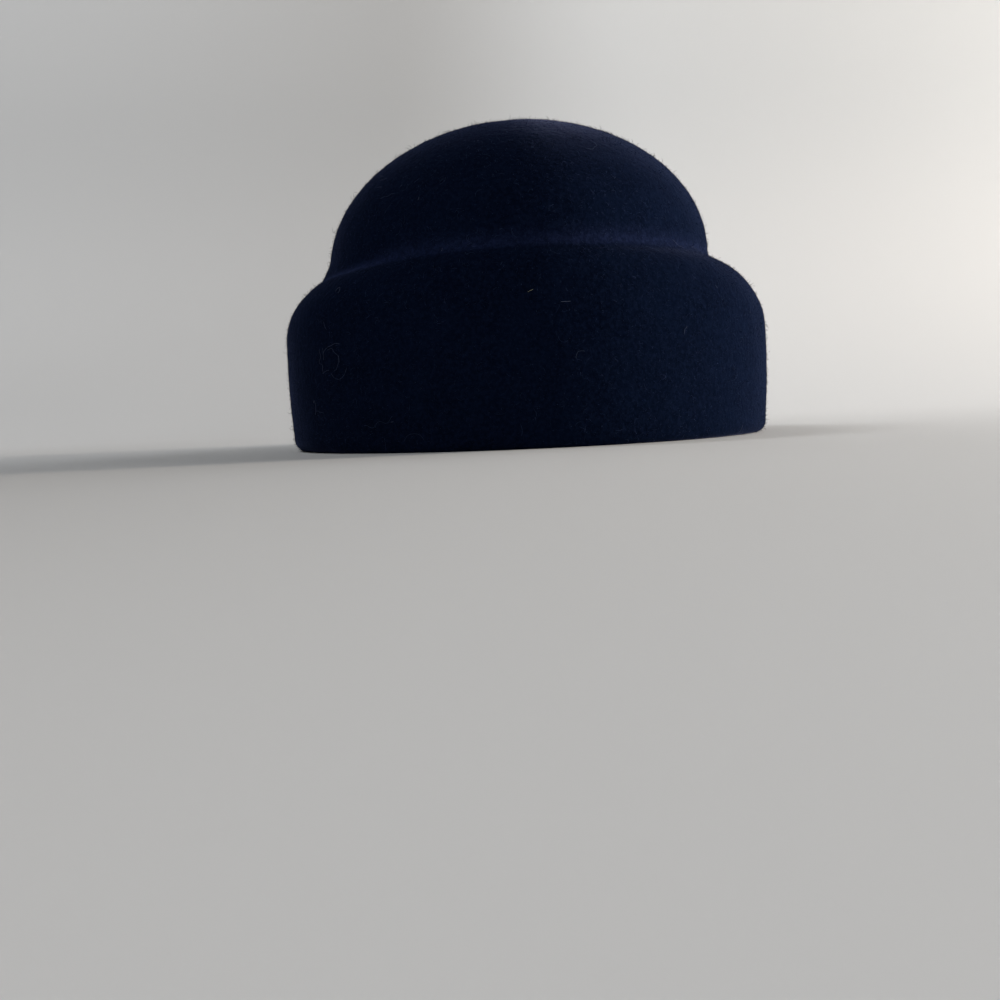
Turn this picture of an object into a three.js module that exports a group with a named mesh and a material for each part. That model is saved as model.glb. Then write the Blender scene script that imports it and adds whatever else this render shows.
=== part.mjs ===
// Sailor hat: one blocked felt body with a domed crown, a soft crease, a sloping shelf and a tall cuff
// Millimetres and degrees. +Z is up, +X is across the head, -Y is the front, and Z 0 is the surface it rests on
import * as THREE from "three";

// Felt and head
const FELT_THICKNESS = 2.4;
const CROWN_HALF_WIDTH = 84.3;
const CROWN_HEIGHT = 61.4;
const HEAD_LENGTHENING = 17.5;

// Share of the cuff's reach beyond the crown that is drawn in at the front and back
const CUFF_DRAW_IN = 0.6;

// Hand blocking: how far the crown leans, and how far the crease is eased out, on the -X side
const CROWN_SHIFT = -1.5;
const CROWN_RISE_PER_MM = 0.0147;
const CREASE_EASE = 3;
const CREASE_EASE_SPAN = 4.5;
const LEAN_STARTS_AT = 42;

// Facets
const TURNS = 64;
const CROWN_STEPS = 13;

// Outer section from the cut edge out and up: a straight stretch has a length, an arc turns to a heading
// Heading 0 points away from the head, 90 points straight up and 180 points back towards the head
const SECTION = [
  { stretch: "rest", length: 3.5, steps: 1 },
  { stretch: "lip", radius: 5.5, heading: 84.6, steps: 6 },
  { stretch: "cuff", radius: 292, heading: 92.8, steps: 5 },
  { stretch: "shoulder", radius: 28.9, heading: 154.8, steps: 7 },
  { stretch: "shelf", length: 3.3, steps: 1 },
  { stretch: "crease", radius: 5.1, heading: 90, steps: 5 },
];

const FELT_COLOR = 0x0b0e24;
const FELT_ROUGHNESS = 0.95;

const radians = THREE.MathUtils.degToRad;

// Unit vector along a heading, and the one a quarter turn to its left, which points into the felt
const along = (heading) => new THREE.Vector2(Math.cos(heading), Math.sin(heading));
const leftOf = (heading) => new THREE.Vector2(-Math.sin(heading), Math.cos(heading));

// Point part way along a straight stretch
function straightPoint(from, { length }, share) {
  const at = from.at.clone().addScaledVector(along(from.heading), length * share);
  return { at, heading: from.heading };
}

// Point part way round an arc that turns to the row's heading
function arcPoint(from, { radius, heading: goal }, share) {
  const turn = radians(goal) - from.heading;
  const heading = from.heading + turn * share;
  const bend = radius * Math.sign(turn);
  const at = from.at.clone().addScaledVector(leftOf(from.heading), bend);
  at.addScaledVector(leftOf(heading), -bend);
  return { at, heading };
}

// Points of the section table, each with its heading, starting at the origin
function traceSection(rows) {
  const points = [{ at: new THREE.Vector2(), heading: 0 }];
  for (const row of rows) {
    const from = points[points.length - 1];
    const pointOf = row.length === undefined ? arcPoint : straightPoint;
    for (let step = 1; step <= row.steps; step++) {
      points.push(pointOf(from, row, step / row.steps));
    }
  }
  return points;
}

// Quarter ellipse from the foot of the crown to its top
function traceCrown(footHeight) {
  const points = [];
  for (let step = 1; step <= CROWN_STEPS; step++) {
    const angle = ((Math.PI / 2) * step) / CROWN_STEPS;
    const across = step === CROWN_STEPS ? 0 : CROWN_HALF_WIDTH * Math.cos(angle);
    const at = new THREE.Vector2(across, footHeight + CROWN_HEIGHT * Math.sin(angle));
    const heading = Math.atan2(CROWN_HEIGHT * Math.cos(angle), -CROWN_HALF_WIDTH * Math.sin(angle));
    points.push({ at, heading });
  }
  return points;
}

// Whole outer section, from the cut edge to the top of the crown, with the foot of the crown at its half width
function traceOuter() {
  const lower = traceSection(SECTION);
  const foot = lower[lower.length - 1].at;
  const shift = new THREE.Vector2(CROWN_HALF_WIDTH - foot.x, 0);
  for (const point of lower) point.at = point.at.clone().add(shift);
  return [...lower, ...traceCrown(foot.y)];
}

// Closed wall profile: the inner section a felt thickness inside the outer one, then the outer one
// Each point keeps the reach of the outer section there, so that both sides of the felt move together
function wallProfile(outer) {
  const wallAt = (depth) => ({ at, heading }) => ({
    at: at.clone().addScaledVector(leftOf(heading), depth),
    reach: at.x,
  });
  const inner = outer.map(wallAt(FELT_THICKNESS));
  inner[inner.length - 1].at.x = 0;
  return [...inner.reverse(), ...outer.map(wallAt(0))];
}

// How much longer than wide the oval is on each side of its middle, where the outer section has this reach
function lengtheningAt(reach) {
  const beyond = Math.max(0, reach - CROWN_HALF_WIDTH);
  return HEAD_LENGTHENING * Math.min(1, reach / CROWN_HALF_WIDTH) - CUFF_DRAW_IN * beyond;
}

// Moves a turned point to the head's oval, with the crown's lean and the eased crease
function blockOnHead(point, reach, creaseHeight) {
  const radius = Math.hypot(point.x, point.y);
  if (radius > 0) {
    const side = Math.max(0, -point.x / radius);
    const level = (point.z - creaseHeight) / CREASE_EASE_SPAN;
    const ease = CREASE_EASE * side * side * Math.exp(-level * level);
    point.y *= 1 + lengtheningAt(reach) / radius;
    point.x *= 1 + ease / radius;
  }
  const lean = THREE.MathUtils.smoothstep(point.z, LEAN_STARTS_AT, creaseHeight);
  point.z += CROWN_RISE_PER_MM * point.x * lean;
  point.x += CROWN_SHIFT * lean;
}

function feltBody() {
  const outer = traceOuter();
  const crownFoot = outer[outer.length - 1 - CROWN_STEPS].at.y;
  const creaseHeight = crownFoot - SECTION.find(({ stretch }) => stretch === "crease").radius / 2;
  const profile = wallProfile(outer);
  const geometry = new THREE.LatheGeometry(profile.map(({ at }) => at), TURNS);
  geometry.rotateX(Math.PI / 2);
  const position = geometry.getAttribute("position");
  const point = new THREE.Vector3();
  for (let index = 0; index < position.count; index++) {
    point.fromBufferAttribute(position, index);
    blockOnHead(point, profile[index % profile.length].reach, creaseHeight);
    position.setXYZ(index, point.x, point.y, point.z);
  }
  geometry.computeVertexNormals();
  const felt = new THREE.MeshStandardMaterial({ color: FELT_COLOR, roughness: FELT_ROUGHNESS, metalness: 0 });
  const mesh = new THREE.Mesh(geometry, felt);
  mesh.name = "felt_body";
  return mesh;
}

const hat = new THREE.Group();
hat.add(feltBody());

export default hat;
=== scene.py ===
# Sailor hat of blocked navy wool felt, at rest on its rolled lip
import math

import bpy
import numpy as np
from mathutils import Matrix, Vector, noise
from mathutils.bvhtree import BVHTree


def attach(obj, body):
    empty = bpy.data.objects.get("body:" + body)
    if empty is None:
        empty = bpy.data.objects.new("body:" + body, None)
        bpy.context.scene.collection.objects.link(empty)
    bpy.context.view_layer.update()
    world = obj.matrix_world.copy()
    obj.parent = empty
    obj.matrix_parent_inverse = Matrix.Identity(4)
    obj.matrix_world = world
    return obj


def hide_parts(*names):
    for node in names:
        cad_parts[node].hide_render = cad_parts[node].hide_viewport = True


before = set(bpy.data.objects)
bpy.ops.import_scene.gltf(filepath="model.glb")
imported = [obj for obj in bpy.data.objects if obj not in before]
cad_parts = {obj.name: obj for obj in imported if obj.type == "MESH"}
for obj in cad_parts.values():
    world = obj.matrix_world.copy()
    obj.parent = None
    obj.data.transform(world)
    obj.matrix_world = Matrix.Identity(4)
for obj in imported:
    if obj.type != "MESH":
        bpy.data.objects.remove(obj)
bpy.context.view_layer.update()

MM = 0.001
SEED = 11

# Felt and head, in millimetres and degrees, as in the part
FELT_THICKNESS = 2.4
CROWN_HALF_WIDTH = 84.3
CROWN_HEIGHT = 61.4
HEAD_LENGTHENING = 17.5
CUFF_DRAW_IN = 0.6
CROWN_SHIFT = -1.5
CROWN_RISE_PER_MM = 0.0147
CREASE_EASE = 3.0
CREASE_EASE_SPAN = 4.5
LEAN_STARTS_AT = 42.0

# Outer section from the cut edge out and up: a straight stretch has a length, an arc turns to a heading
# Heading 0 points away from the head, 90 points straight up and 180 points back towards the head
SECTION = (
    {"stretch": "rest", "length": 3.5},
    {"stretch": "lip", "radius": 5.5, "heading": 84.6},
    {"stretch": "cuff", "radius": 292.0, "heading": 92.8},
    {"stretch": "shoulder", "radius": 28.9, "heading": 154.8},
    {"stretch": "shelf", "length": 3.3},
    {"stretch": "crease", "radius": 5.1, "heading": 90.0},
)
CREASE_RADIUS = SECTION[-1]["radius"]

# Mesh: spacing along the section, in millimetres, fewest steps of an arc and columns round the head
OUTER_STEP = 1.5
INNER_STEP = 3.0
ARC_STEPS_LEAST = 4
COLUMNS = 448

# A face whose columns lie further apart than this crosses the seam of the texture map
SEAM_GAP = 1.5

# Unevenness of the blocked felt: how far it reaches in or out, and how wide each swell is, in millimetres
UNEVENNESS = (
    {"swell": "hand blocking", "reach": 0.35, "width": 38.0},
    {"swell": "pressing", "reach": 0.12, "width": 11.0},
    {"swell": "felt lumps", "reach": 0.06, "width": 4.0},
)

# Ground under the nap: how far inside the outline it lies, and from what height up, in millimetres
GROUND_INSET = 0.35
INSET_FROM = 8.0

# Cloudy dye of the ground: a noise over the felt, and where it is deepest and palest
CLOUD_SCALE = 70.0
CLOUD_DETAIL = 3.0
CLOUD_ROUGHNESS = 0.55
CLOUD_LOW = 0.3
CLOUD_HIGH = 0.7

# Mat of fine fibres: a noise, where pale fibres start and fill, and its relief, its depth in millimetres
MAT_SCALE = 680.0
MAT_DETAIL = 4.0
MAT_ROUGHNESS = 0.72
MAT_LOW = 0.42
MAT_HIGH = 0.68
MAT_BARE = (0.0, 0.0, 0.0)
MAT_FULL = (1.0, 1.0, 1.0)
MAT_BUMP = 0.6
MAT_DEPTH = 0.22

# Lumps under the mat: a coarser noise and its relief, its depth in millimetres
LUMP_SCALE = 380.0
LUMP_DETAIL = 2.0
LUMP_ROUGHNESS = 0.6
LUMP_BUMP = 0.42
LUMP_DEPTH = 0.6

# Pale band along the crease, partly loose fibres caught there and partly a painted highlight: how far it
# reaches up the crown and down the shelf, in millimetres
FLUFF_HIGHLIGHT_UP_CROWN = 4.5
FLUFF_HIGHLIGHT_ON_SHELF = 2.0

# How much of the band shows between the pale fibres of the mat, and on them
FLUFF_HIGHLIGHT_THIN = (0.35, 0.35, 0.35)
FLUFF_HIGHLIGHT_THICK = (0.95, 0.95, 0.95)

# On the side where the crease is eased out, the band of fluff and painted highlight lies this far down
# the shelf, narrower and thicker
# On the other side it lies thinner, and each side starts and is full at these cosines of the turn from it
FLUFF_HIGHLIGHT_DRIFT = 5.0
FLUFF_HIGHLIGHT_NARROWING = 0.4
FLUFF_HIGHLIGHT_THICKENING = 1.05
FLUFF_HIGHLIGHT_THINNING = 0.3
SIDE_FROM = 0.42
SIDE_FULLY = 0.88

# Nap: kinds of loose fibre, each fibre a row of straight steps that bend along the felt and rise from it
# The count is for one layer, lengths and widths are in millimetres and angles in degrees
# A settle below 1 lays the tip down and a power above 1 makes most of the kind short
# Tone 0 is the deepest navy and 1 the palest, and pale clumps add to it
NAP = (
    {"kind": "lying", "layers": 2, "count": 17000, "steps": 2, "length": (0.7, 2.4), "power": 1.0,
     "width": (0.08, 0.15), "rise": (2.0, 12.0), "settle": -0.6, "bend": 75.0, "tone": (0.05, 0.42)},
    {"kind": "fuzz", "layers": 2, "count": 45000, "steps": 1, "length": (0.3, 1.2), "power": 1.5,
     "width": (0.08, 0.13), "rise": (35.0, 88.0), "settle": 1.0, "bend": 0.0, "tone": (0.1, 0.7)},
    {"kind": "hairs", "layers": 1, "count": 1300, "steps": 5, "length": (1.2, 4.6), "power": 1.3,
     "width": (0.08, 0.13), "rise": (8.0, 35.0), "settle": -0.1, "bend": 160.0, "tone": (0.1, 0.55)},
    {"kind": "strays", "layers": 1, "count": 4200, "steps": 2, "length": (0.7, 2.7), "power": 1.8,
     "width": (0.1, 0.17), "rise": (45.0, 88.0), "settle": 0.4, "bend": 120.0, "tone": (-0.25, 0.25)},
    {"kind": "specks", "layers": 1, "count": 1000, "steps": 1, "length": (0.25, 0.7), "power": 1.5,
     "width": (0.15, 0.35), "rise": (5.0, 40.0), "settle": 1.0, "bend": 0.0, "tone": (0.7, 1.0)},
)

# Roots: how deep they lie and below what height none grow, in millimetres, and what share grows inside
ROOT_DEPTH = 0.12
RESTING_BELOW = 0.5
INSIDE_SHARE = 0.15

# What pales a fibre: the crease's band of fluff and painted highlight under it and its clump, which also
# makes it longer or shorter
# The width of a clump is in millimetres
FLUFF_HIGHLIGHT_PALES = 0.25
CLUMP_WIDTH = 1.8
CLUMP_TONE = 1.0
CLUMP_LENGTH = 1.2
CLUMP_SHORTEST = 0.3

# Sides of each fibre, and the narrow strip of tones that it has on its texture map
FIBRE_SIDES = 3
TONE_WIDTH = 0.004

# Lint caught on the nap, each thread at a turn round the head, in degrees, and a height, in millimetres
# Seen from outside it starts at its aim, 0 to the right and 90 up, turns by its curl and sways on its way
LINT = (
    {"turn": 226.4, "height": 41.8, "long": 12.5, "aim": 30.0, "curl": -35.0, "sway": 8.0, "tone": 0.3},
    {"turn": 223.4, "height": 39.2, "long": 5.0, "aim": 275.0, "curl": 0.0, "sway": 20.0, "tone": 0.25},
    {"turn": 222.3, "height": 36.6, "long": 12.0, "aim": 245.0, "curl": 80.0, "sway": 60.0, "tone": 0.25},
    {"turn": 227.5, "height": 39.0, "long": 11.0, "aim": 5.0, "curl": -85.0, "sway": 25.0, "tone": 0.2},
    {"turn": 228.4, "height": 34.6, "long": 8.0, "aim": 275.0, "curl": -75.0, "sway": 18.0, "tone": 0.15},
    {"turn": 224.1, "height": 32.4, "long": 5.0, "aim": 25.0, "curl": -25.0, "sway": 15.0, "tone": 0.3},
    {"turn": 228.9, "height": 30.4, "long": 13.0, "aim": 305.0, "curl": 130.0, "sway": 5.0, "tone": 0.15},
    {"turn": 218.4, "height": 18.5, "long": 6.5, "aim": 300.0, "curl": -70.0, "sway": 10.0, "tone": 0.25},
    {"turn": 220.5, "height": 16.8, "long": 6.0, "aim": 345.0, "curl": 10.0, "sway": 15.0, "tone": 0.15},
    {"turn": 217.8, "height": 20.9, "long": 0.9, "aim": 60.0, "curl": 40.0, "sway": 0.0, "tone": 0.6},
    {"turn": 239.3, "height": 11.6, "long": 17.0, "aim": 8.0, "curl": 10.0, "sway": -38.0, "tone": 0.06},
    {"turn": 242.5, "height": 11.9, "long": 1.2, "aim": 340.0, "curl": 60.0, "sway": 0.0, "tone": 0.4},
    {"turn": 235.9, "height": 98.6, "long": 9.0, "aim": 350.0, "curl": 20.0, "sway": 25.0, "tone": 0.1},
    {"turn": 246.8, "height": 94.6, "long": 1.3, "aim": 70.0, "curl": 20.0, "sway": 0.0, "tone": 0.5},
    {"turn": 239.9, "height": 101.6, "long": 0.8, "aim": 20.0, "curl": 20.0, "sway": 0.0, "tone": 0.35},
    {"turn": 258.9, "height": 117.4, "long": 0.9, "aim": 80.0, "curl": 30.0, "sway": 0.0, "tone": 0.6},
    {"turn": 229.6, "height": 107.2, "long": 7.0, "aim": 330.0, "curl": 40.0, "sway": 45.0, "tone": 0.2},
    {"turn": 226.5, "height": 109.5, "long": 6.0, "aim": 300.0, "curl": 60.0, "sway": 40.0, "tone": 0.12},
    {"turn": 269.4, "height": 122.3, "long": 11.0, "aim": 10.0, "curl": -30.0, "sway": 35.0, "tone": 0.1},
    {"turn": 224.4, "height": 50.0, "long": 4.0, "aim": 285.0, "curl": 40.0, "sway": 10.0, "tone": 0.2},
    {"turn": 226.9, "height": 63.5, "long": 6.0, "aim": 40.0, "curl": 230.0, "sway": 5.0, "tone": 0.45},
    {"turn": 277.9, "height": 52.0, "long": 3.6, "aim": 0.0, "curl": 2.0, "sway": 0.0, "tone": 0.66},
    {"turn": 271.4, "height": 56.3, "long": 2.0, "aim": 22.0, "curl": 0.0, "sway": 0.0, "tone": 1.0},
    {"turn": 271.6, "height": 56.5, "long": 1.4, "aim": 22.0, "curl": 0.0, "sway": 0.0, "tone": 1.0},
    {"turn": 253.3, "height": 74.0, "long": 1.4, "aim": 60.0, "curl": 40.0, "sway": 0.0, "tone": 0.5},
    {"turn": 291.4, "height": 113.1, "long": 11.0, "aim": 0.0, "curl": 95.0, "sway": -20.0, "tone": 0.15},
    {"turn": 279.9, "height": 120.6, "long": 5.0, "aim": 20.0, "curl": -50.0, "sway": 10.0, "tone": 0.15},
    {"turn": 230.0, "height": 103.7, "long": 5.0, "aim": 130.0, "curl": 60.0, "sway": 10.0, "tone": 0.2},
    {"turn": 311.6, "height": 75.4, "long": 8.0, "aim": 300.0, "curl": 70.0, "sway": 30.0, "tone": 0.25},
    {"turn": 320.8, "height": 75.2, "long": 7.0, "aim": 20.0, "curl": -60.0, "sway": 30.0, "tone": 0.2},
    {"turn": 303.0, "height": 41.1, "long": 3.5, "aim": 200.0, "curl": 80.0, "sway": 20.0, "tone": 0.25},
    {"turn": 322.2, "height": 2.5, "long": 4.0, "aim": 30.0, "curl": 60.0, "sway": 20.0, "tone": 0.25},
    {"turn": 280.0, "height": 33.6, "long": 5.0, "aim": 150.0, "curl": 130.0, "sway": 10.0, "tone": 0.15},
    {"turn": 247.3, "height": 6.2, "long": 11.0, "aim": 60.0, "curl": -120.0, "sway": 5.0, "tone": 0.05},
    {"turn": 314.4, "height": 57.9, "long": 1.4, "aim": 100.0, "curl": 50.0, "sway": 0.0, "tone": 0.3},
    {"turn": 331.4, "height": 58.2, "long": 2.4, "aim": 130.0, "curl": 150.0, "sway": 0.0, "tone": 0.3},
    {"turn": 327.3, "height": 49.1, "long": 1.4, "aim": 30.0, "curl": 80.0, "sway": 0.0, "tone": 0.25},
    {"turn": 38.0, "height": 52.0, "long": 6.0, "aim": 150.0, "curl": 160.0, "sway": 20.0, "tone": 0.3},
    {"turn": 96.0, "height": 30.0, "long": 9.0, "aim": 10.0, "curl": -140.0, "sway": 25.0, "tone": 0.25},
    {"turn": 121.0, "height": 101.0, "long": 7.0, "aim": 80.0, "curl": 120.0, "sway": 15.0, "tone": 0.2},
    {"turn": 172.0, "height": 46.0, "long": 4.0, "aim": 220.0, "curl": 60.0, "sway": 10.0, "tone": 0.4},
)

# Each thread: its steps and sways, and its width and height over the felt, in millimetres
LINT_STEPS = 16
LINT_SWAYS = 2.0
LINT_WIDTH = 0.13
LINT_HOVER = 0.35

# Camera: place, lens and sensor in millimetres, turns in degrees and the nearest it sees, in metres
CAMERA_BACK = 506.65
CAMERA_HEIGHT = 15.92
CAMERA_TURN_LEFT = 1.645
CAMERA_LOOK_DOWN = 4.872
CAMERA_ROLL = 2.546
LENS_MM = 39.6
SENSOR_MM = 36.0
NEAREST_SEEN = 0.004

# Stage: a floor that sweeps up into a backdrop, in metres
FLOOR_HALF_WIDTH = 4.0
FLOOR_FRONT = -3.0
BACKDROP_AT = 0.4
BACKDROP_BEND = 1.4
BACKDROP_TOP = 4.0
BEND_STEPS = 32

# Colours of the stage, with painted shade darkening its left and painted light brightening its right and
# the floor, how far from the middle and above the floor they fade, and the room beyond it
STAGE_FADE = 0.25
FLOOR_FADE = 0.6
STAGE_ROUGHNESS = 0.9
BACKDROP_LEFT = (0.38, 0.39, 0.40)
BACKDROP_RIGHT = (0.58, 0.61, 0.64)
FLOOR_LEFT = (0.52, 0.53, 0.54)
FLOOR_RIGHT = (0.76, 0.78, 0.80)
ROOM = (0.30, 0.31, 0.32, 1.0)

# Lights: place, aim and size in metres, power in watts
HAT_MIDDLE = (0.0, 0.0, 0.08)
WARM = (1.0, 0.86, 0.71)
WHITE = (1.0, 1.0, 1.0)
LIGHTS = (
    {"light": "low window", "place": (2.58, 0.20, 0.28), "aim": HAT_MIDDLE,
     "size": 0.52, "power": 102.0, "color": WARM},
    {"light": "high window", "place": (1.92, 0.17, 1.82), "aim": HAT_MIDDLE,
     "size": 1.0, "power": 8.5, "color": WHITE},
    {"light": "window behind", "place": (2.0, 1.2, 1.2), "aim": HAT_MIDDLE,
     "size": 1.6, "power": 17.0, "color": WHITE},
    {"light": "lamp in front", "place": (-0.1, -0.91, 0.37), "aim": (0.0, -0.6, 0.0),
     "size": 0.56, "power": 1.75, "color": WHITE},
    {"light": "far lamp", "place": (-0.6, 0.42, 0.47), "aim": HAT_MIDDLE,
     "size": 0.3, "power": 0.3, "color": WHITE},
    {"light": "backdrop lamp", "place": (-1.2, 0.2, 1.9), "aim": (-1.0, 1.8, 1.2),
     "size": 1.0, "power": 33.0, "color": WHITE},
)

# Colours of the felt's dye, of the pale fibres in it and of the band of fluff and painted highlight in
# its crease
NAVY_DEEP = (0.0018, 0.0040, 0.0129)
NAVY = (0.0025, 0.0058, 0.0183)
NAVY_FIBRE = (0.0048, 0.0095, 0.0282)
NAVY_FLUFF_HIGHLIGHT = (0.0129, 0.0201, 0.0605)

# Colours of the nap and the lint, and the tone at which each is reached
NAP_DEEP = (0.0019, 0.0042, 0.0137)
NAP_MIDDLE = (0.0060, 0.0119, 0.0337)
NAP_PALE = (0.0159, 0.0245, 0.0585)
NAP_PALEST = (0.0275, 0.0394, 0.0952)
LINT_BLUE = (0.020, 0.028, 0.060)
LINT_PALE = (0.11, 0.125, 0.19)
LINT_STRAW = (0.22, 0.22, 0.17)
NAP_STOPS = ((0.0, NAP_DEEP), (0.45, NAP_MIDDLE), (0.8, NAP_PALE), (1.0, NAP_PALEST))
LINT_STOPS = ((0.0, LINT_BLUE), (0.7, LINT_PALE), (1.0, LINT_STRAW))

# Matt wool with a soft sheen
WOOL_ROUGHNESS = 1.0
WOOL_GLOSS = 0.0
SHEEN = 0.118
SHEEN_SPREAD = 0.29
SHEEN_TINT = (0.40, 0.50, 1.0, 1.0)


# Section of the felt

def smooth_between(value, low, high):
    """Smooth rise from 0 at the low value to 1 at the high one."""
    share = np.clip((value - low) / (high - low), 0.0, 1.0)
    return share * share * (3.0 - 2.0 * share)


def along(heading):
    """Unit vector along a heading."""
    return np.array([math.cos(heading), math.sin(heading)])


def left_of(heading):
    """Unit vector a quarter turn to the left of a heading, which points into the felt."""
    return np.array([-math.sin(heading), math.cos(heading)])


def trace_stretch(row, start, heading, spacing):
    """Points and headings of one stretch of the section, after its start."""
    if "length" in row:
        steps = max(1, round(row["length"] / spacing))
        shares = np.arange(1, steps + 1) / steps
        return [(start + along(heading) * row["length"] * share, heading) for share in shares]
    turn = math.radians(row["heading"]) - heading
    bend = math.copysign(row["radius"], turn)
    steps = max(ARC_STEPS_LEAST, round(abs(row["radius"] * turn) / spacing))
    headings = heading + turn * np.arange(1, steps + 1) / steps
    return [(start + bend * (left_of(heading) - left_of(goal)), goal) for goal in headings]


def trace_crown(foot, spacing):
    """Quarter ellipse from the foot of the crown to its top."""
    steps = round(0.25 * math.pi * (CROWN_HALF_WIDTH + CROWN_HEIGHT) / spacing)
    points = []
    for angle in 0.5 * math.pi * np.arange(1, steps + 1) / steps:
        at = np.array([CROWN_HALF_WIDTH * math.cos(angle), foot + CROWN_HEIGHT * math.sin(angle)])
        heading = math.atan2(CROWN_HEIGHT * math.cos(angle), -CROWN_HALF_WIDTH * math.sin(angle))
        points.append((at, heading))
    return points


def trace_outer(spacing):
    """Outer section, from the cut edge to the top of the crown, and the height of the crown's foot."""
    points = [(np.zeros(2), 0.0)]
    for row in SECTION:
        points += trace_stretch(row, *points[-1], spacing)
    foot = points[-1][0]
    shift = np.array([CROWN_HALF_WIDTH - foot[0], 0.0])
    points = [(at + shift, heading) for at, heading in points]
    return points + trace_crown(foot[1], spacing), foot[1]


def ground_inset(height):
    """How far inside the outline the ground lies at a height."""
    return GROUND_INSET * smooth_between(height, 0.0, INSET_FROM)


def wall_profile():
    """Closed profile from the top inside, down to the cut edge, and up the outside to the top.

    With it come the outer section's reach at each row, the count of inside rows and the crease's height.
    """
    outer, foot = trace_outer(OUTER_STEP)
    coarse, _ = trace_outer(INNER_STEP)
    coarse.reverse()
    inner = [at + FELT_THICKNESS * left_of(heading) for at, heading in coarse]
    ground = [at + ground_inset(at[1]) * left_of(heading) for at, heading in outer]
    profile = np.array(inner + ground)
    profile[[0, -1], 0] = 0.0
    reach = np.array([at[0] for at, _ in coarse + outer])
    return profile, reach, len(inner), foot - 0.5 * CREASE_RADIUS


def fluff_highlight_on(profile, inner_count, crease_height, turn):
    """How much of the crease's pale band each point of the wall has, outside only, most along the crease:
    partly loose fibres, partly a painted highlight.
    """
    step = np.linalg.norm(np.diff(profile, axis=0), axis=1)
    place = np.concatenate([[0.0], np.cumsum(step)])
    outside = np.arange(len(profile)) >= inner_count
    near = np.hypot(profile[:, 0] - CROWN_HALF_WIDTH, profile[:, 1] - crease_height)
    bottom = place[np.argmin(np.where(outside, near, np.inf))]
    eased = smooth_between(-np.cos(turn), SIDE_FROM, SIDE_FULLY)
    sharp = smooth_between(np.cos(turn), SIDE_FROM, SIDE_FULLY)
    amount = 1.0 + FLUFF_HIGHLIGHT_THICKENING * eased - FLUFF_HIGHLIGHT_THINNING * sharp
    above = (place - bottom)[:, None] + FLUFF_HIGHLIGHT_DRIFT * eased
    reach = np.where(above > 0.0, FLUFF_HIGHLIGHT_UP_CROWN, FLUFF_HIGHLIGHT_ON_SHELF) * (1.0 - FLUFF_HIGHLIGHT_NARROWING * eased)
    return np.exp(-(above / reach) ** 2) * amount * outside[:, None]


def lengthening_at(reach):
    """How much longer than wide the oval is on each side of its middle, at a reach of the section."""
    beyond = np.maximum(0.0, reach - CROWN_HALF_WIDTH)
    return HEAD_LENGTHENING * np.minimum(1.0, reach / CROWN_HALF_WIDTH) - CUFF_DRAW_IN * beyond


def block_on_head(profile, reach, turn, crease_height):
    """Turned points, moved to the head's oval with the crown's lean and the eased crease."""
    radius, height = profile[:, :1], profile[:, 1:]
    level = (height - crease_height) / CREASE_EASE_SPAN
    side = np.maximum(0.0, -np.cos(turn))
    x = (radius + CREASE_EASE * side ** 2 * np.exp(-level ** 2)) * np.cos(turn)
    y = (radius + lengthening_at(reach[:, None])) * np.sin(turn)
    lean = smooth_between(height, LEAN_STARTS_AT, crease_height)
    z = height + CROWN_RISE_PER_MM * x * lean
    return np.stack([x + CROWN_SHIFT * lean, y, z], axis=-1)


# Meshes

def put_in_scene(name, data):
    made = bpy.data.objects.new(name, data)
    bpy.context.collection.objects.link(made)
    return made


def mesh_object(name, points, faces):
    mesh = bpy.data.meshes.new(name)
    mesh.from_pydata(points, [], faces)
    mesh.update()
    return put_in_scene(name, mesh)


def values_of(items, field, width=1, kind=np.float32):
    """One field of all points, loops or faces of a mesh, as rows of this width."""
    values = np.empty(len(items) * width, dtype=kind)
    items.foreach_get(field, values)
    return values.reshape(-1, width)


def noise_at(places):
    """Smooth noise at each place, from about -1 to 1."""
    return np.array([noise.noise(Vector(place)) for place in places])


def points_and_normals(mesh):
    points = values_of(mesh.vertices, "co", 3)
    normals = values_of(mesh.vertex_normals, "vector", 3)
    return points.astype(float), normals.astype(float)


def uneven(mesh):
    """Moves each point in or out along its normal, and keeps the resting ring on the floor."""
    points, normals = points_and_normals(mesh)
    reach = np.zeros(len(points))
    for row in UNEVENNESS:
        reach += row["reach"] * MM * noise_at(points / (row["width"] * MM))
    points += normals * reach[:, None]
    points[:, 2] = np.maximum(points[:, 2], 0.0)
    mesh.vertices.foreach_set("co", points.astype(np.float32).ravel())
    mesh.update()


def lay_out(mesh, rings):
    """Texture map of the wall: round the head across, along the section up."""
    loops = values_of(mesh.loops, "vertex_index", kind=np.int32)[:, 0]
    starts = values_of(mesh.polygons, "loop_start", kind=np.int32)[:, 0]
    sizes = values_of(mesh.polygons, "loop_total", kind=np.int32)[:, 0]
    face = np.repeat(np.arange(len(sizes)), sizes)
    column = (loops % COLUMNS).astype(float)
    ring = loops // COLUMNS + 1.0
    ends = loops >= rings * COLUMNS
    ring[ends] = np.where(loops[ends] == rings * COLUMNS, 0.0, rings + 1.0)
    column[ends] = np.nan
    low = np.minimum.reduceat(np.nan_to_num(column, nan=np.inf), starts)[face]
    high = np.maximum.reduceat(np.nan_to_num(column, nan=-np.inf), starts)[face]
    split = high - low > SEAM_GAP
    column[split & (column < 1.0)] += COLUMNS
    middle = np.where(split, high, low) + 0.5
    column = np.where(ends, middle, column)
    layer = mesh.uv_layers.new(name="wall")
    places = np.stack([column / (COLUMNS + 1.0), ring / (rings + 1.0)], axis=-1)
    layer.data.foreach_set("uv", places.astype(np.float32).ravel())


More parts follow.
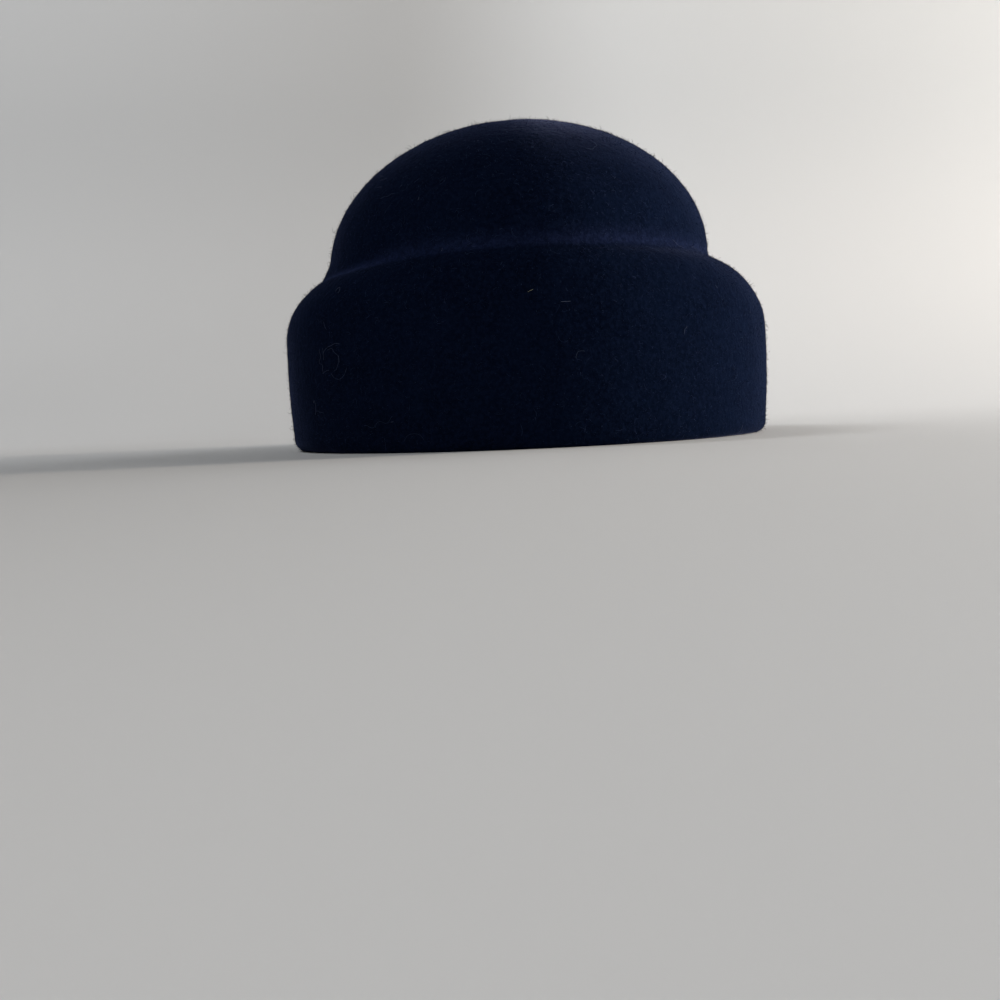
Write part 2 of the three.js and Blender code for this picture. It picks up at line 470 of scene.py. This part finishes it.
def felt_shell():
    """The whole felt wall as one fine closed mesh, with the crease's band of fluff and painted highlight
    as a point value.
    """
    profile, reach, inner_count, crease_height = wall_profile()
    turn = 2.0 * math.pi * np.arange(COLUMNS) / COLUMNS
    fluff_highlight = fluff_highlight_on(profile, inner_count, crease_height, turn[None, :])
    grid = block_on_head(profile, reach, turn[None, :], crease_height)
    count = len(profile) - 2
    points = np.vstack([grid[1:-1].reshape(-1, 3), grid[[0, -1], 0]]) * MM
    row = np.arange(count - 1)[:, None] * COLUMNS
    here = np.arange(COLUMNS)[None, :]
    after = (here + 1) % COLUMNS
    quads = np.stack([row + here, row + after, row + COLUMNS + after, row + COLUMNS + here], axis=-1)
    faces = quads.reshape(-1, 4).tolist()
    inside_top = count * COLUMNS
    outside_top = inside_top + 1
    last = (count - 1) * COLUMNS
    for column in range(COLUMNS):
        beside = (column + 1) % COLUMNS
        faces.append((inside_top, beside, column))
        faces.append((outside_top, last + column, last + beside))
    shell = mesh_object("felt_shell", points.tolist(), faces)
    uneven(shell.data)
    lay_out(shell.data, count)
    # Point value of the crease's pale band: partly loose fibres, partly a painted highlight
    layer = shell.data.attributes.new("fluff_highlight", "FLOAT", "POINT")
    values = np.concatenate([fluff_highlight[1:-1].ravel(), fluff_highlight[[0, -1], 0]])
    layer.data.foreach_set("value", values.astype(np.float32))
    shell.data.shade_smooth()
    return shell, (inner_count - 1) * COLUMNS


# Nap of loose fibres

def unit(vectors):
    return vectors / np.linalg.norm(vectors, axis=-1, keepdims=True)


def felt_surface(shell, first_outer):
    """Triangles of the felt with their normals and crease band of fluff and painted highlight, and how
    likely each is to carry a root.
    """
    mesh = shell.data
    mesh.calc_loop_triangles()
    corners = values_of(mesh.loop_triangles, "vertices", 3, np.int32)
    fluff_highlight = values_of(mesh.attributes["fluff_highlight"].data, "value")[:, 0]
    points, normals = points_and_normals(mesh)
    points, normals = points[corners], normals[corners]
    inside_top = len(mesh.vertices) - 2
    outer = (corners >= first_outer).all(axis=1) & (corners != inside_top).all(axis=1)
    area = np.linalg.norm(np.cross(points[:, 1] - points[:, 0], points[:, 2] - points[:, 0]), axis=1)
    clear = points[:, :, 2].mean(axis=1) > RESTING_BELOW * MM
    weight = area * clear * np.where(outer, 1.0, INSIDE_SHARE)
    return points, normals, fluff_highlight[corners], weight / weight.sum()


def roots_on(surface, count, rng):
    """Random places on the felt, the way out of it there and how much of the crease's band of fluff and
    painted highlight lies there.
    """
    points, normals, fluff_highlight, weight = surface
    chosen = rng.choice(len(weight), size=count, p=weight)
    share = rng.dirichlet((1.0, 1.0, 1.0), size=count)
    root = (points[chosen] * share[:, :, None]).sum(axis=1)
    out = unit((normals[chosen] * share[:, :, None]).sum(axis=1))
    return root, out, (fluff_highlight[chosen] * share).sum(axis=1)


def spread(rng, limits, count, power=1.0):
    """Random values between two limits, most of them low where the power is above 1."""
    low, high = limits
    return low + (high - low) * rng.random((count, 1)) ** power


def fibre_steps(row, out, rng):
    """Direction of each step of every fibre, and a way across it that stays level with the felt."""
    rise = np.radians(spread(rng, row["rise"], row["count"]))
    bend = np.radians(row["bend"]) * rng.uniform(-1.0, 1.0, size=(row["count"], 1))
    way = unit(np.cross(out, rng.normal(size=out.shape)))
    side = np.cross(out, way)
    steps = []
    for share in np.linspace(0.0, 1.0, row["steps"]):
        slope = rise * (1.0 + (row["settle"] - 1.0) * share)
        forward = np.cos(share * bend) * way + np.sin(share * bend) * side
        across = np.cos(share * bend) * side - np.sin(share * bend) * way
        steps.append((np.cos(slope) * forward + np.sin(slope) * out, across))
    return steps


def fibre_ring(centre, direction, across, width):
    """Points round each fibre, the first towards the felt, so that a flat side faces out."""
    below = np.cross(across, direction)
    angles = 2.0 * math.pi * np.arange(FIBRE_SIDES) / FIBRE_SIDES
    return [centre + 0.5 * width * (math.cos(a) * below - math.sin(a) * across) for a in angles]


def fibre_faces(steps):
    """Faces of one fibre: a cap at its root, quads between its rings and a point at its tip."""
    last = FIBRE_SIDES * (steps - 1)
    tip = last + FIBRE_SIDES
    faces = [(0, *range(FIBRE_SIDES - 1, 0, -1))]
    for corner in range(FIBRE_SIDES):
        after = (corner + 1) % FIBRE_SIDES
        for ring in range(0, last, FIBRE_SIDES):
            above = ring + FIBRE_SIDES
            faces.append((ring + corner, ring + after, above + after, above + corner))
        faces.append((last + corner, last + after, tip))
    return faces


def fibre_object(name, places, steps, width, tones):
    """One mesh of many thin fibres, with tone across its texture map and length up it."""
    rings = [fibre_ring(place, *step, width) for place, step in zip(places, steps)]
    points = np.stack([corner for ring in rings for corner in ring] + [places[-1]], axis=1)
    points[..., 2] = np.maximum(points[..., 2], 0.0)
    count, size = points.shape[:2]
    first = np.arange(count)[:, None] * size
    faces = [first + np.array(face)[None, :] for face in fibre_faces(len(steps))]
    loops = np.concatenate([face.ravel() for face in faces])
    sizes = np.concatenate([np.full(count, face.shape[1]) for face in faces])
    starts = np.concatenate([[0], np.cumsum(sizes)[:-1]])
    mesh = bpy.data.meshes.new(name)
    mesh.vertices.add(count * size)
    mesh.vertices.foreach_set("co", points.astype(np.float32).ravel())
    mesh.loops.add(len(loops))
    mesh.loops.foreach_set("vertex_index", loops.astype(np.int32))
    mesh.polygons.add(len(sizes))
    mesh.polygons.foreach_set("loop_start", starts.astype(np.int32))
    mesh.update(calc_edges=True)
    corner = loops % size
    across = tones[loops // size] + TONE_WIDTH * (corner % FIBRE_SIDES)
    upward = corner // FIBRE_SIDES / len(steps)
    layer = mesh.uv_layers.new(name="fibre")
    layer.data.foreach_set("uv", np.stack([across, upward], axis=-1).astype(np.float32).ravel())
    return put_in_scene(name, mesh)


def nap_layer(name, row, surface, rng):
    """One layer of one kind of loose fibre."""
    count = row["count"]
    root, out, fluff_highlight = roots_on(surface, count, rng)
    clump = noise_at(root / (CLUMP_WIDTH * MM))
    longer = np.maximum(CLUMP_SHORTEST, 1.0 + CLUMP_LENGTH * clump)
    length = spread(rng, row["length"], count, row["power"]) * MM * longer[:, None]
    width = spread(rng, row["width"], count) * MM
    steps = fibre_steps(row, out, rng)
    places = [root - ROOT_DEPTH * MM * out]
    for direction, _ in steps:
        places.append(places[-1] + direction * length / len(steps))
    # Fibres along the crease are paler, partly as loose fluff and partly as painted highlight
    tones = spread(rng, row["tone"], count)[:, 0] + FLUFF_HIGHLIGHT_PALES * fluff_highlight + CLUMP_TONE * clump
    tones = np.clip(tones, 0.0, 1.0 - FIBRE_SIDES * TONE_WIDTH)
    return fibre_object(name, places, steps, width, tones)


# Lint

def lint_route(row, felt):
    """Places of one thread of lint on the nap, with the way out of the felt at each."""
    turn = math.radians(row["turn"])
    outwards = Vector((math.cos(turn), math.sin(turn), 0.0))
    start = outwards + Vector((0.0, 0.0, row["height"] * MM))
    middle, out, _, _ = felt.ray_cast(start, -outwards)
    right = Vector((-math.sin(turn), math.cos(turn), 0.0))
    right = (right - right.dot(out) * out).normalized()
    up = out.cross(right)
    share = np.linspace(0.0, 1.0, LINT_STEPS)
    sway = row["sway"] * np.sin(2.0 * math.pi * LINT_SWAYS * share)
    heading = np.radians(row["aim"] + row["curl"] * share + sway)
    ways = np.stack([np.cos(heading), np.sin(heading)], axis=1)
    route = ways.cumsum(axis=0) * row["long"] / LINT_STEPS
    route = np.vstack([np.zeros(2), route]) * MM
    places = []
    for x, y in (route - route.mean(axis=0)).tolist():
        at, normal, _, _ = felt.find_nearest(middle + x * right + y * up)
        places.append((at + LINT_HOVER * MM * normal, normal))
    return np.array(places)


def lint(shell):
    """Threads of lint, as one mesh."""
    corners = [polygon.vertices for polygon in shell.data.polygons]
    felt = BVHTree.FromPolygons([vertex.co for vertex in shell.data.vertices], corners)
    routes = np.stack([lint_route(row, felt) for row in LINT], axis=1)
    places = routes[:, :, 0]
    steps = []
    for here, after, out in zip(places, places[1:], routes[:, :, 1]):
        direction = unit(after - here)
        steps.append((direction, unit(np.cross(out, direction))))
    tones = np.array([row["tone"] for row in LINT])
    return fibre_object("lint", list(places), steps, LINT_WIDTH * MM, tones)


# Materials

def node_material(name):
    """A new material with its node tree and its shader."""
    material = bpy.data.materials.new(name)
    material.use_nodes = True
    tree = material.node_tree
    return material, tree, tree.nodes["Principled BSDF"]


def noise_node(tree, place, scale, detail, roughness):
    made = tree.nodes.new("ShaderNodeTexNoise")
    made.inputs["Scale"].default_value = scale
    made.inputs["Detail"].default_value = detail
    made.inputs["Roughness"].default_value = roughness
    tree.links.new(place, made.inputs["Vector"])
    return made.outputs["Fac"]


def ramp_node(tree, value, stops):
    """Colour of a value between stops, each a value and a colour."""
    made = tree.nodes.new("ShaderNodeValToRGB")
    elements = made.color_ramp.elements
    for position, _ in stops[1:-1]:
        elements.new(position)
    for element, (position, color) in zip(elements, stops):
        element.position = position
        element.color = (*color, 1.0)
    tree.links.new(value, made.inputs["Fac"])
    return made.outputs["Color"]


def mix_node(tree, share, first, second):
    """Blend of two colours, the second a socket or a colour."""
    made = tree.nodes.new("ShaderNodeMix")
    made.data_type = "RGBA"
    tree.links.new(share, made.inputs["Factor"])
    colors = [socket for socket in made.inputs if socket.type == "RGBA"]
    tree.links.new(first, colors[0])
    if isinstance(second, bpy.types.NodeSocket):
        tree.links.new(second, colors[1])
    else:
        colors[1].default_value = (*second, 1.0)
    return next(socket for socket in made.outputs if socket.type == "RGBA")


def scaled_node(tree, first, second):
    """Product of two values, each a socket or a number."""
    made = tree.nodes.new("ShaderNodeMath")
    made.operation = "MULTIPLY"
    for socket, value in zip(made.inputs, (first, second)):
        if isinstance(value, bpy.types.NodeSocket):
            tree.links.new(value, socket)
        else:
            socket.default_value = value
    return made.outputs["Value"]


def bump_node(tree, height, strength, distance, under=None):
    """Relief of a height, on top of the relief under it if there is one."""
    made = tree.nodes.new("ShaderNodeBump")
    made.inputs["Strength"].default_value = strength
    made.inputs["Distance"].default_value = distance
    tree.links.new(height, made.inputs["Height"])
    if under is not None:
        tree.links.new(under, made.inputs["Normal"])
    return made.outputs["Normal"]


def woolly_finish(shader):
    """Matt wool with the soft sheen of fine fibres at its edges."""
    shader.inputs["Roughness"].default_value = WOOL_ROUGHNESS
    shader.inputs["Specular IOR Level"].default_value = WOOL_GLOSS
    shader.inputs["Sheen Weight"].default_value = SHEEN
    shader.inputs["Sheen Roughness"].default_value = SHEEN_SPREAD
    shader.inputs["Sheen Tint"].default_value = SHEEN_TINT


def felt_material():
    """Navy wool felt: cloudy dye, a mat of fine fibres, a crease band of fluff and painted highlight, and
    a soft sheen.
    """
    material, tree, shader = node_material("navy_felt")
    place = tree.nodes.new("ShaderNodeTexCoord").outputs["Object"]
    clouds = noise_node(tree, place, CLOUD_SCALE, CLOUD_DETAIL, CLOUD_ROUGHNESS)
    mat = noise_node(tree, place, MAT_SCALE, MAT_DETAIL, MAT_ROUGHNESS)
    dye = ramp_node(tree, clouds, ((CLOUD_LOW, NAVY_DEEP), (CLOUD_HIGH, NAVY)))
    fibres = ramp_node(tree, mat, ((MAT_LOW, MAT_BARE), (MAT_HIGH, MAT_FULL)))
    woolly = mix_node(tree, fibres, dye, NAVY_FIBRE)
    fluff_highlight = tree.nodes.new("ShaderNodeAttribute")
    fluff_highlight.attribute_name = "fluff_highlight"
    mottle = ramp_node(tree, mat, ((MAT_LOW, FLUFF_HIGHLIGHT_THIN), (MAT_HIGH, FLUFF_HIGHLIGHT_THICK)))
    fluff_highlight_share = scaled_node(tree, fluff_highlight.outputs["Fac"], mottle)
    # Paler along the crease: partly loose fibres, partly a painted highlight
    tree.links.new(mix_node(tree, fluff_highlight_share, woolly, NAVY_FLUFF_HIGHLIGHT), shader.inputs["Base Color"])
    lumps = noise_node(tree, place, LUMP_SCALE, LUMP_DETAIL, LUMP_ROUGHNESS)
    lumpy = bump_node(tree, lumps, LUMP_BUMP, LUMP_DEPTH * MM)
    tree.links.new(bump_node(tree, mat, MAT_BUMP, MAT_DEPTH * MM, lumpy), shader.inputs["Normal"])
    woolly_finish(shader)
    return material


def fibre_material(name, stops):
    """Loose fibres, each its own shade."""
    material, tree, shader = node_material(name)
    place = tree.nodes.new("ShaderNodeUVMap")
    place.uv_map = "fibre"
    apart = tree.nodes.new("ShaderNodeSeparateXYZ")
    tree.links.new(place.outputs["UV"], apart.inputs["Vector"])
    tree.links.new(ramp_node(tree, apart.outputs["X"], stops), shader.inputs["Base Color"])
    woolly_finish(shader)
    return material


def fade_node(tree, value, start, end):
    """Smooth rise from 0 where the value is at the start to 1 where it is at the end."""
    made = tree.nodes.new("ShaderNodeMapRange")
    made.interpolation_type = "SMOOTHSTEP"
    made.inputs["From Min"].default_value = start
    made.inputs["From Max"].default_value = end
    tree.links.new(value, made.inputs["Value"])
    return made.outputs["Result"]


def stage_material():
    """Matt pale grey, with painted shade making it duller on the left and painted light making it paler
    on the right and on the floor.
    """
    material, tree, shader = node_material("pale_stage")
    place = tree.nodes.new("ShaderNodeTexCoord").outputs["Object"]
    apart = tree.nodes.new("ShaderNodeSeparateXYZ")
    tree.links.new(place, apart.inputs["Vector"])
    # Painted shade on the left, painted light on the right and on the floor
    across = fade_node(tree, apart.outputs["X"], -STAGE_FADE, STAGE_FADE)
    up = fade_node(tree, apart.outputs["Z"], 0.0, FLOOR_FADE)
    flat = ramp_node(tree, across, ((0.0, FLOOR_LEFT), (1.0, FLOOR_RIGHT)))
    upright = ramp_node(tree, across, ((0.0, BACKDROP_LEFT), (1.0, BACKDROP_RIGHT)))
    tree.links.new(mix_node(tree, up, flat, upright), shader.inputs["Base Color"])
    shader.inputs["Roughness"].default_value = STAGE_ROUGHNESS
    return material


# Stage

def camera():
    """Camera low in front of the hat, turned and rolled a little."""
    data = bpy.data.cameras.new("camera")
    data.lens = LENS_MM
    data.sensor_width = SENSOR_MM
    data.clip_start = NEAREST_SEEN
    made = put_in_scene("camera", data)
    turn = Matrix.Rotation(math.radians(CAMERA_TURN_LEFT), 4, "Z")
    pitch = Matrix.Rotation(math.radians(90.0 - CAMERA_LOOK_DOWN), 4, "X")
    roll = Matrix.Rotation(math.radians(-CAMERA_ROLL), 4, "Z")
    place = Matrix.Translation(Vector((0.0, -CAMERA_BACK, CAMERA_HEIGHT)) * MM)
    made.matrix_world = place @ turn @ pitch @ roll
    bpy.context.scene.camera = made


def area_light(row):
    """Round window or lamp that faces its aim."""
    data = bpy.data.lights.new(row["light"], "AREA")
    data.shape = "DISK"
    data.size = row["size"]
    data.energy = row["power"]
    data.color = row["color"]
    made = put_in_scene(row["light"], data)
    made.location = row["place"]
    towards = Vector(row["aim"]) - Vector(row["place"])
    made.rotation_euler = towards.to_track_quat("-Z", "Y").to_euler()


def floor():
    """Pale floor that sweeps up into a backdrop behind."""
    path = [(FLOOR_FRONT, 0.0)]
    for angle in np.linspace(0.0, 0.5 * math.pi, BEND_STEPS):
        back = BACKDROP_AT + BACKDROP_BEND * math.sin(angle)
        path.append((back, BACKDROP_BEND * (1.0 - math.cos(angle))))
    path.append((BACKDROP_AT + BACKDROP_BEND, BACKDROP_TOP))
    points = [(side * FLOOR_HALF_WIDTH, y, z) for y, z in path for side in (-1, 1)]
    faces = [(2 * i, 2 * i + 1, 2 * i + 3, 2 * i + 2) for i in range(len(path) - 1)]
    made = mesh_object("floor", points, faces)
    made.data.shade_smooth()
    made.data.materials.append(stage_material())


def plain_room():
    """Plain grey beyond the stage, which throws no light on it."""
    made = bpy.data.worlds.new("room")
    made.use_nodes = True
    made.node_tree.nodes["Background"].inputs["Color"].default_value = ROOM
    made.cycles_visibility.diffuse = False
    made.cycles_visibility.glossy = False
    bpy.context.scene.world = made


def dress(piece, material):
    """Gives a piece its material and its place on the hat."""
    piece.data.materials.append(material)
    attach(piece, "root")


camera()
rng = np.random.default_rng(SEED)
shell, first_outer = felt_shell()
dress(shell, felt_material())
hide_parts("felt_body")
surface = felt_surface(shell, first_outer)
nap = fibre_material("navy_nap", NAP_STOPS)
for row in NAP:
    for layer in range(row["layers"]):
        dress(nap_layer(f"nap_{row['kind']}_{layer + 1}", row, surface, rng), nap)
dress(lint(shell), fibre_material("lint", LINT_STOPS))
floor()
plain_room()
for row in LIGHTS:
    area_light(row)
bpy.context.scene.view_settings.view_transform = "Standard"
